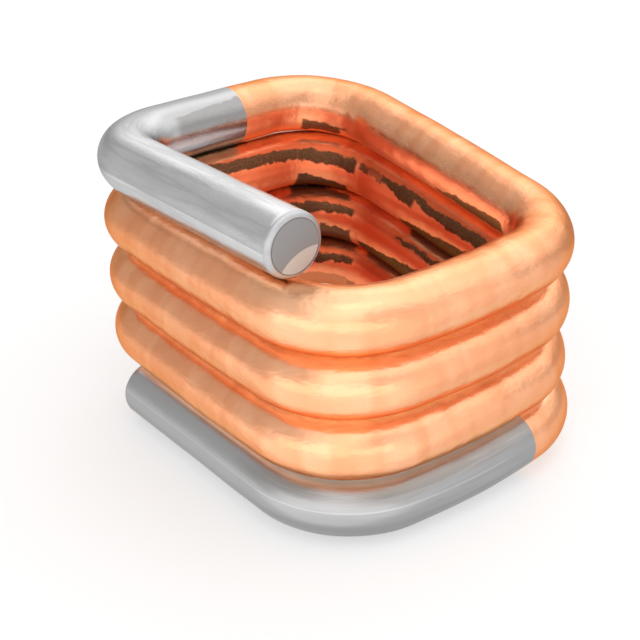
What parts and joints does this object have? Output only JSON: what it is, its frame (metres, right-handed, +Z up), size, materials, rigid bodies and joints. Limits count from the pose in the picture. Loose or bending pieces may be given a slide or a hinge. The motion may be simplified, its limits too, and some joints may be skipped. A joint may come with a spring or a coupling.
{
  "type": "air core inductor",
  "caption": "Rounded rectangular air core coil of heavy enamelled copper wire, close wound, with both ends tinned on one side for soldering to a board.",
  "frame": {"origin": "below the middle of the coil, on the level of the underside of its lowest pass", "axes": "+Z up along the winding axis, -Y out of the front side that carries both tinned ends, +X along that side towards the cut end of the upper lead"},
  "size_m": [0.0092, 0.0074, 0.0064],
  "materials": {
    "enamelled_copper": "copper under clear enamel, soft gloss",
    "tin": "satin solder tin"
  },
  "bodies": {
    "root": {"winding_wire": "enamelled_copper", "upper_tin_coat": "tin", "lower_tin_coat": "tin"}
  },
  "joints": []
}
